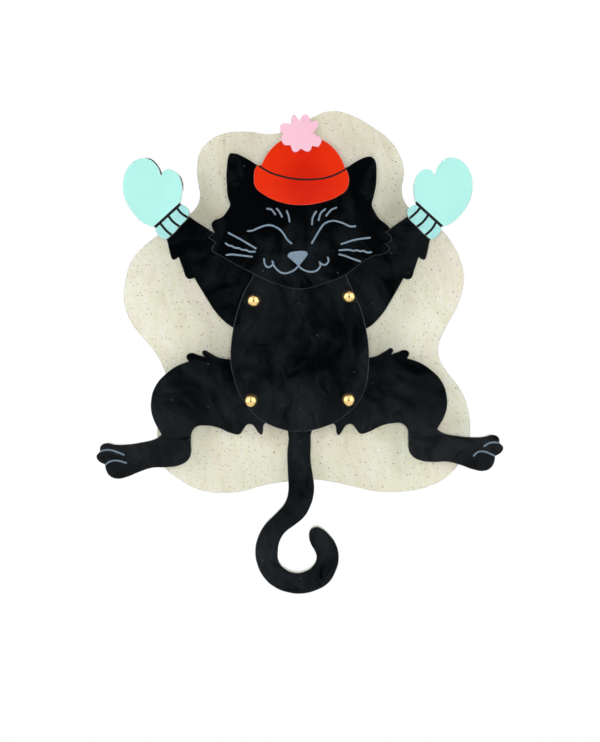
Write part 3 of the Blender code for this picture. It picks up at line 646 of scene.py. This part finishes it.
def snow_pearl(name):
    """Cream pearl acrylic: silky pale streaks, pink and green tints, dark and gold flakes; painted
    shade in its hollows and on its rim.
    """
    look = Look(name, 0.12)
    turn = (0.0, 0.22, 0.0)
    coils = look.warp(look.place, 70.0, 0.0085)
    coils = look.warp(coils, 200.0, 0.0030)
    cloud = look.noise(look.stretch((75.0, 75.0, 45.0), turn, coils), 1.0, 3.0, 0.5)
    streak = look.noise(look.stretch((330.0, 330.0, 75.0), turn, coils), 1.0, 4.0, 0.6)
    silk = look.noise(look.stretch((900.0, 900.0, 120.0), turn, coils), 1.0, 2.0, 0.6)
    tint = look.noise(look.stretch((150.0, 150.0, 60.0), (0.0, 0.30, 0.0), coils), 1.0, 3.0, 0.5)
    grit = look.noise(look.place, 2100.0, 2.0, 0.7)
    base = look.mix(look.ramp(cloud, 0.36, 0.64, smooth=True), (0.850, 0.835, 0.655),
                    (0.905, 0.900, 0.735))
    base = look.mix(look.ramp(tint, 0.54, 0.70, 0.0, 0.75), base, (0.900, 0.825, 0.715))
    base = look.mix(look.ramp(tint, 0.45, 0.30, 0.0, 0.80), base, (0.835, 0.880, 0.715))
    base = look.mix(look.ramp(streak, 0.55, 0.70, 0.0, 0.80), base, (0.925, 0.935, 0.830))
    base = look.mix(look.ramp(streak, 0.46, 0.32, 0.0, 0.78), base, (0.765, 0.735, 0.560))
    base = look.mix(look.ramp(silk, 0.51, 0.68, 0.0, 0.50), base, (0.935, 0.940, 0.850))
    base = look.mix(look.ramp(silk, 0.46, 0.30, 0.0, 0.28), base, (0.780, 0.755, 0.590))
    base = look.mix(look.ramp(grit, 0.52, 0.72, 0.0, 0.22), base, (0.680, 0.640, 0.450))
    front = look.front_face()
    # painted shade in the hollows between the pieces in front, and towards the bottom
    for x, z, reach, strength in POCKETS:
        depth = look.ramp(look.distance(x * MM, z * MM), 0.4 * reach * MM, reach * MM, strength, 0.0,
                          smooth=True)
        depth = look.math("MULTIPLY", depth, front)
        base = look.mix(depth, base, (0.420, 0.375, 0.255))
    face = look.math("ADD", look.side_wall(0.80, 0.99, -1.0), 1.0)
    for number, (scale, radius, left_out, flake, strength) in enumerate(FLAKES):
        distance, random_tint = look.cells(scale * (1 + 0.01 * number))
        random_tint = look.split(random_tint)
        distance = look.math("MULTIPLY", distance, look.ramp(random_tint["Y"], 0.0, 1.0, 0.65, 1.7))
        mark = look.ramp(distance, radius, radius * 1.35, strength, 0.0)
        chosen = look.math("MULTIPLY", face,
                           look.ramp(random_tint["X"], left_out, left_out + 0.02))
        base = look.mix(look.math("MULTIPLY", mark, chosen), base, flake)
    # painted shade: the rounded rim and cut wall darkened to tan
    base = look.mix(look.side_wall(0.80, 0.99, 0.75), base, (0.470, 0.430, 0.320))
    look.colour(base)
    look.shader.inputs["Coat Weight"].default_value = 0.15
    look.shader.inputs["Coat Roughness"].default_value = 0.05
    look.cut_marks(0.12)
    return look.material


def red_painted_shade(name):
    """Red acrylic with painted shade: darkest along the fold and lighter towards its rim."""
    look = Look(name, 0.06)
    parts = look.split(look.place)
    # painted shade: the red darkens towards the fold
    deepest_x, deepest_z = HAT_SHADE_DARKEST
    across = look.math("ABSOLUTE", look.math("SUBTRACT", parts["X"], deepest_x))
    rise = look.math("ABSOLUTE", look.math("SUBTRACT", parts["Z"], deepest_z))
    spread = look.math("ADD", across, look.math("MULTIPLY", rise, 0.75))
    depth = look.ramp(spread, 0.0010, 0.0098, smooth=True)
    base = look.mix(depth, (0.660, 0.015, 0.0040), (0.790, 0.030, 0.0050))
    cloud = look.noise(look.stretch((160.0, 160.0, 90.0)), 1.0, 2.0)
    base = look.mix(look.ramp(cloud, 0.45, 0.75, 0.0, 0.18), base, (0.800, 0.036, 0.006))
    base = look.mix(look.side_wall(0.70, 0.98, 0.6), base, (0.880, 0.100, 0.050))
    look.colour(base)
    look.cut_marks(0.12)
    return look.material


def plain_acrylic(name, colour, shade_colour, wall_colour, band=None):
    """Opaque coloured acrylic with a trace of clouding, and a second tint beyond a line.

    The band is (a point of the line and another, as drawn; the tint; the layer's front y).
    """
    look = Look(name, 0.12)
    cloud = look.noise(look.stretch((150.0, 150.0, 105.0)), 1.0, 3.0, 0.5, 0.6)
    base = look.mix(look.ramp(cloud, 0.42, 0.72, 0.0, 0.6, smooth=True), colour, shade_colour)
    grit = look.noise(look.place, 2400.0, 2.0)
    base = look.mix(look.ramp(grit, 0.60, 0.80, 0.0, 0.25), base, shade_colour)
    if band:
        line, tint, front = band
        (x1, z1), (x2, z2) = on_layer(line, front)
        normal = Vector((z2 - z1, x1 - x2)).normalized()
        if normal.y > 0:
            normal.negate()
        place = look.split(look.place)
        reach = look.math("ADD", look.math("MULTIPLY", place["X"], normal.x),
                          look.math("MULTIPLY", place["Z"], normal.y))
        past = look.math("SUBTRACT", reach, normal.dot(Vector((x1, z1))))
        blot = look.ramp(look.noise(look.place, 1100.0, 2.0), 0.30, 0.70, 0.55, 1.0)
        base = look.mix(look.math("MULTIPLY", look.ramp(past, -0.0001, 0.0003), blot), base, tint)
    base = look.mix(look.side_wall(0.50, 0.97, 0.85), base, wall_colour)
    look.colour(base)
    look.cut_marks(0.12)
    return look.material


def paint(name, colour, speck, glitter, roughness=0.55, gloss=0.5):
    """Wiped-in enamel with small light and dark grains, and scattered glitter."""
    look = Look(name, roughness)
    look.shader.inputs["Specular IOR Level"].default_value = gloss
    grain = look.noise(look.place, 5200.0, 2.0)
    blot = look.noise(look.place, 1300.0, 2.0)
    base = look.mix(look.ramp(grain, 0.50, 0.66, 0.0, 0.65), colour, speck)
    base = look.mix(look.ramp(blot, 0.56, 0.72, 0.0, 0.30), base, tuple(c * 0.6 for c in colour))
    distance, tint = look.cells(1900.0)
    flake = look.math("MULTIPLY", look.ramp(distance, 0.10, 0.20, 0.8, 0.0),
                      look.ramp(look.split(tint)["X"], 0.55, 0.57))
    base = look.mix(flake, base, glitter)
    look.colour(base)
    look.bump(grain, 0.5, 0.00002)
    return look.material


def metal(name, colour, worn, roughness, brushing=0.15):
    """Polished plate with faint rubbing marks."""
    look = Look(name, roughness, 1.0)
    rub = look.noise(look.stretch((2600.0, 500.0, 2600.0)), 1.0, 2.0)
    spots = look.noise(look.place, 700.0, 3.0)
    look.colour(look.mix(look.ramp(spots, 0.45, 0.75, 0.0, 0.3), colour, worn))
    look.link(look.ramp(rub, 0.3, 0.8, roughness * 0.85, roughness * 1.3),
              look.shader.inputs["Roughness"])
    look.bump(rub, brushing, 0.00001)
    return look.material


def clear_acrylic(name):
    look = Look(name, 0.10)
    haze = look.noise(look.place, 800.0, 2.0)
    look.colour(look.mix(look.ramp(haze, 0.4, 0.7), (0.70, 0.72, 0.71), (0.80, 0.82, 0.82)))
    look.shader.inputs["Transmission Weight"].default_value = 0.6
    look.cut_marks()
    return look.material


# ---------------------------------------------------------------- pieces


def make_plate(node, material):
    """A smooth, edge-polished copy of a CAD sheet that stands for it."""
    low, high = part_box(node)
    loops = [smooth_path(loop, True, OUTLINE_STEP) for loop in node_loops(node)]
    edge = BASE_EDGE_RADIUS if node == "snow_base" else EDGE_RADIUS
    piece = solid_from_loops(node + "_sheet", loops, low.y, high.y, edge)
    piece.data.materials.append(material)
    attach(piece, BODY_OF_PLATE[node])
    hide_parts(node)
    return piece


def shrunk_outline(node, share):
    """A sheet's outline, drawn in towards its middle."""
    loop = smooth_path(node_loops(node)[0], True, 2 * OUTLINE_STEP)
    centre = sum((Vector(p) for p in loop), Vector((0.0, 0.0))) / len(loop)
    return [tuple(centre + (Vector(p) - centre) * share) for p in loop]


def make_glue(node, behind, material):
    """The clear film that holds a sheet on the one behind it, a little smaller than both."""
    front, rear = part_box(node)[1].y + GLUE_CLEARANCE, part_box(behind)[0].y - GLUE_CLEARANCE
    film = solid_from_loops("glue_" + node, [shrunk_outline(node, GLUE_SHARE)], front, rear, 0.0)
    limit = solid_from_loops("glue_limit", [shrunk_outline(behind, GLUE_LIMIT)],
                             front - EDGE_RADIUS, rear + EDGE_RADIUS, 0.0)
    apply_boolean(film, limit, "INTERSECT")
    shade(film)
    film.data.materials.append(material)
    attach(film, BODY_OF_PLATE[node])


def turned(name, profile, matrix):
    """A turned piece from (radius, height) points down its outer side."""
    mesh = bpy.data.meshes.new(name)
    shape = bmesh.new()
    verts = [shape.verts.new((radius, 0.0, height)) for radius, height in profile]
    for first, second in zip(verts, verts[1:]):
        shape.edges.new((first, second))
    bmesh.ops.spin(shape, geom=shape.verts[:] + shape.edges[:], cent=(0, 0, 0), axis=(0, 0, 1),
                   dvec=(0, 0, 0), angle=2 * math.pi, steps=TURN_STEPS, use_merge=True)
    bmesh.ops.remove_doubles(shape, verts=shape.verts, dist=MERGE_DISTANCE / 2)
    bmesh.ops.recalc_face_normals(shape, faces=shape.faces)
    shape.transform(matrix)
    shape.to_mesh(mesh)
    shape.free()
    return mesh_object(name, mesh)


def facing_front(x, z):
    return Matrix.Translation((x, 0.0, z)) @ Matrix.Rotation(math.radians(90), 4, "X")


def make_ball_pins(material):
    """Polished ball-headed pins in place of the coarse ones, down to their peened tails."""
    for limb in ("arm_left", "arm_right", "leg_left", "leg_right"):
        node = "pivot_pin_" + limb
        low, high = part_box(node)
        ball = (high.x - low.x) / 2
        centre = -low.y - ball
        end = -high.y
        collar = end + PIN_COLLAR
        neck = math.pi - math.asin(PIN_SHAFT / ball)
        turns = [neck * k / BALL_STEPS for k in range(BALL_STEPS + 1)]
        profile = [(ball * math.sin(a), centre + ball * math.cos(a)) for a in turns]
        profile += [
            (PIN_SHAFT, collar + PIN_FILLET[1]),
            (PIN_SHAFT + PIN_FILLET[0], collar),
            (PIN_TAIL - PIN_TAIL_ROUND, collar),
            (PIN_TAIL, collar - PIN_TAIL_ROUND),
        ]
        profile += [(PIN_TAIL * share, end + rise) for share, rise in PIN_TAIL_DOME]
        place = facing_front((low.x + high.x) / 2, (low.z + high.z) / 2)
        piece = turned("ball_pin_" + limb, profile, place)
        shade(piece, BALL_SHARP_DEG)
        piece.data.materials.append(material)
        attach(piece, "base")
        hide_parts(node)


def make_floor():
    mesh = bpy.data.meshes.new("floor")
    shape = bmesh.new()
    bmesh.ops.create_grid(shape, x_segments=1, y_segments=1, size=1.0)
    bmesh.ops.scale(shape, verts=shape.verts,
                    vec=(FLOOR_SIDE, (FLOOR_FAR - FLOOR_NEAR) / 2, 1.0))
    bmesh.ops.translate(shape, verts=shape.verts, vec=(0.0, (FLOOR_FAR + FLOOR_NEAR) / 2, 0.0))
    shape.to_mesh(mesh)
    shape.free()
    floor = mesh_object("floor", mesh)
    floor.location = (0.0, 0.0, FLOOR_HEIGHT)
    look = Look("floor_white", 0.9)
    tone = look.noise(look.place, 3.0, 1.0)
    look.colour(look.mix(look.ramp(tone, 0.3, 0.7), (0.86, 0.86, 0.85), (0.88, 0.88, 0.87)))
    mesh.materials.append(look.material)


def make_world():
    """White for the camera; in reflections, two bright panels beside a dark opening."""
    world = bpy.data.worlds.new("studio")
    bpy.context.scene.world = world
    world.cycles_visibility.diffuse = False
    world.use_nodes = True
    tree = world.node_tree
    direction = tree.nodes.new("ShaderNodeTexCoord").outputs["Generated"]
    parts = tree.nodes.new("ShaderNodeSeparateXYZ")
    tree.links.new(direction, parts.inputs["Vector"])

    def ramp(value, low, high, start, end):
        node = tree.nodes.new("ShaderNodeMapRange")
        node.interpolation_type = "SMOOTHSTEP"
        for socket, number in (("From Min", low), ("From Max", high), ("To Min", start),
                               ("To Max", end)):
            node.inputs[socket].default_value = number
        tree.links.new(value, node.inputs["Value"])
        return node.outputs["Result"]

    def combine(operation, first, second=None):
        node = tree.nodes.new("ShaderNodeMath")
        node.operation = operation
        tree.links.new(first, node.inputs[0])
        if second is not None:
            tree.links.new(second, node.inputs[1])
        return node.outputs["Value"]

    towards = tree.nodes.new("ShaderNodeVectorMath")
    towards.operation = "DOT_PRODUCT"
    towards.inputs[1].default_value = Vector((0.0, -1.0, SHADE_LIFT)).normalized()
    tree.links.new(direction, towards.inputs[0])
    opening = ramp(towards.outputs["Value"], math.cos(math.radians(SHADE_ANGLES[1])),
                   math.cos(math.radians(SHADE_ANGLES[0])), 1.0, SHADE_LEVEL)
    beside = ramp(combine("ABSOLUTE", parts.outputs["X"]), *PANEL_EDGE, 0.0, 1.0)
    height = ramp(combine("ABSOLUTE", parts.outputs["Z"]), *PANEL_TOP,
                  PANEL_LEVEL - FRONT_LEVEL, 0.0)
    panels = combine("MULTIPLY", beside, height)
    base = tree.nodes.new("ShaderNodeMath")
    base.operation = "ADD"
    base.inputs[1].default_value = FRONT_LEVEL
    tree.links.new(panels, base.inputs[0])
    front = combine("MULTIPLY", base.outputs["Value"], opening)
    rear = ramp(parts.outputs["Y"], -SIDE_BLEND, SIDE_BLEND, 0.0, 1.0)
    haze = ramp(parts.outputs["Y"], math.cos(math.radians(HAZE_ANGLES[1])),
                math.cos(math.radians(HAZE_ANGLES[0])), BACK_LEVEL, HAZE_LEVEL)
    level = tree.nodes.new("ShaderNodeMix")
    level.data_type = "FLOAT"
    tree.links.new(rear, level.inputs["Factor"])
    tree.links.new(front, level.inputs["A"])
    tree.links.new(haze, level.inputs["B"])
    rays = tree.nodes.new("ShaderNodeLightPath")
    seen = tree.nodes.new("ShaderNodeMix")
    seen.data_type = "FLOAT"
    tree.links.new(rays.outputs["Is Camera Ray"], seen.inputs["Factor"])
    tree.links.new(level.outputs["Result"], seen.inputs["A"])
    seen.inputs["B"].default_value = 1.0
    background = tree.nodes["Background"]
    tree.links.new(seen.outputs["Result"], background.inputs["Strength"])
    background.inputs["Color"].default_value = (1.0, 1.0, 1.0, 1.0)


def make_lights():
    """Soft round lights that light the sheets but aren't mirrored in them."""
    target = Vector((0.0, LIMB_FRONT, LIT_HEIGHT))
    for name, (place, width, brightness) in LIGHTS.items():
        light = bpy.data.lights.new(name, "AREA")
        light.shape = "DISK"
        light.size = width
        aim = target - Vector(place)
        light.energy = brightness * math.pi**2 * aim.length_squared
        obj = bpy.data.objects.new(name, light)
        obj.location = place
        obj.rotation_euler = aim.to_track_quat("-Z", "Y").to_euler()
        obj.visible_camera = False
        obj.visible_glossy = False
        bpy.context.scene.collection.objects.link(obj)


def make_camera():
    camera = bpy.data.cameras.new("camera")
    camera.sensor_width = SENSOR
    camera.lens = CAMERA_LENS
    camera.clip_start = CLIP_START
    camera.shift_y = (PICTURE_MIDDLE - CAMERA_PLACE[1]) / (CAMERA_DISTANCE * SENSOR / CAMERA_LENS)
    obj = bpy.data.objects.new("camera", camera)
    obj.location = (CAMERA_PLACE[0], LIMB_FRONT - CAMERA_DISTANCE, CAMERA_PLACE[1])
    obj.rotation_euler = (math.radians(90), 0.0, 0.0)
    bpy.context.scene.collection.objects.link(obj)
    bpy.context.scene.camera = obj


def assign(node, material):
    """Gives a CAD node its material, and breaks its sharp edges."""
    obj = frame["nodes"][node]
    obj.data.materials.clear()
    obj.data.materials.append(material)
    bevel = obj.modifiers.new("broken_edges", "BEVEL")
    bevel.width = BROKEN_EDGE
    bevel.segments = 2
    bevel.limit_method = "ANGLE"
    bevel.angle_limit = math.radians(BROKEN_EDGE_DEG)


def main():
    make_camera()
    make_world()
    make_lights()
    make_floor()
    bpy.context.scene.view_settings.view_transform = "Standard"

    # the third number of each black pearl, where given, is how much painted light pales it towards
    # the bottom
    black = {
        "head_plate": black_pearl("black_pearl_head", 0.25, -0.26, 0.30),
        "torso_plate": black_pearl("black_pearl_torso", 0.15, 0.02, 0.42),
        # pieces given PAINTED_WALL_REFLECTION have cut walls painted pale, a painted reflection
        "tail_slider": black_pearl("black_pearl_tail", 0.05, 0.15, 0.28, PAINTED_WALL_REFLECTION),
        "arm_left": black_pearl("black_pearl_arm_left", -0.75, -0.22),
        "arm_right": black_pearl("black_pearl_arm_right", 0.85, -0.12, 0.42, PAINTED_WALL_REFLECTION),
        "leg_left": black_pearl("black_pearl_leg_left", 0.60, -0.20, 0.72, PAINTED_WALL_REFLECTION),
        "leg_right": black_pearl("black_pearl_leg_right", 0.95, -0.15, 0.72, PAINTED_WALL_REFLECTION),
    }
    snow = snow_pearl("snow_pearl")
    red = red_painted_shade("red_painted_shade")
    pink = plain_acrylic("pink_gloss", (0.960, 0.575, 0.700), (0.910, 0.515, 0.630),
                         (0.840, 0.330, 0.400))
    grey_paint = paint("grey_blue_paint", (0.155, 0.228, 0.305), (0.27, 0.35, 0.40),
                       (0.38, 0.34, 0.22))
    toe_paint = paint("toe_paint", (0.150, 0.225, 0.300), (0.060, 0.075, 0.095),
                      (0.050, 0.060, 0.075))
    black_paint = paint("black_paint", (0.006, 0.005, 0.006), (0.018, 0.014, 0.014),
                        (0.025, 0.020, 0.020), 0.5, 0.15)
    gold = metal("gold_plate", (0.98, 0.68, 0.28), (0.90, 0.56, 0.20), 0.13)
    nickel = metal("nickel_plate", (0.62, 0.61, 0.58), (0.54, 0.52, 0.48), 0.20, 0.06)
    clear = clear_acrylic("clear_acrylic")

    make_plate("snow_base", snow)
    make_plate("torso_plate", black["torso_plate"])
    head = make_plate("head_plate", black["head_plate"])
    hat = make_plate("hat_plate", red)
    make_plate("pompom_plate", pink)
    make_plate("tail_slider", black["tail_slider"])
    engrave(head, "face_lines", FACE_LINES, PAINT_WIDTH, grey_paint, "base",
            [NOSE_OUTLINE])
    engrave(hat, "hat_fold_line", HAT_LINES, FOLD_WIDTH, black_paint, "base")
    for side in ("left", "right"):
        # the mint's cut walls are coloured greyer and paler: a painted reflection
        mint = plain_acrylic(
            "mint_gloss_" + side, (0.480, 0.925, 0.860), (0.455, 0.885, 0.820),
            (0.640, 0.760, 0.700),
            band=(CUFF_LINES[side][0], (0.375, 0.735, 0.730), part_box("mitten_" + side)[0].y),
        )
        make_plate("arm_" + side, black["arm_" + side])
        leg = make_plate("leg_" + side, black["leg_" + side])
        mitten = make_plate("mitten_" + side, mint)
        engrave(leg, "toe_lines_" + side, TOE_LINES[side], TOE_WIDTH, toe_paint,
                "leg_" + side)
        engrave(mitten, "cuff_lines_" + side, CUFF_LINES[side], RIB_WIDTH, black_paint,
                "arm_" + side, first_width=WRIST_WIDTH)
    for obj in bpy.data.objects:
        if obj.name.endswith("_sheet"):
            shade(obj)
    make_glue("pompom_plate", "hat_plate", clear)
    make_glue("hat_plate", "head_plate", clear)
    for side in ("left", "right"):
        make_glue("mitten_" + side, "arm_" + side, clear)
    make_ball_pins(gold)
    for node in frame["nodes"]:
        if node.startswith(("drive_pin", "rear_washer")):
            assign(node, gold)
        elif node.startswith(("spacer", "guide_post")):
            assign(node, clear)
        elif node in ("brooch_bar", "hinge_rivet", "pin_stem", "catch_roller"):
            assign(node, nickel)


main()
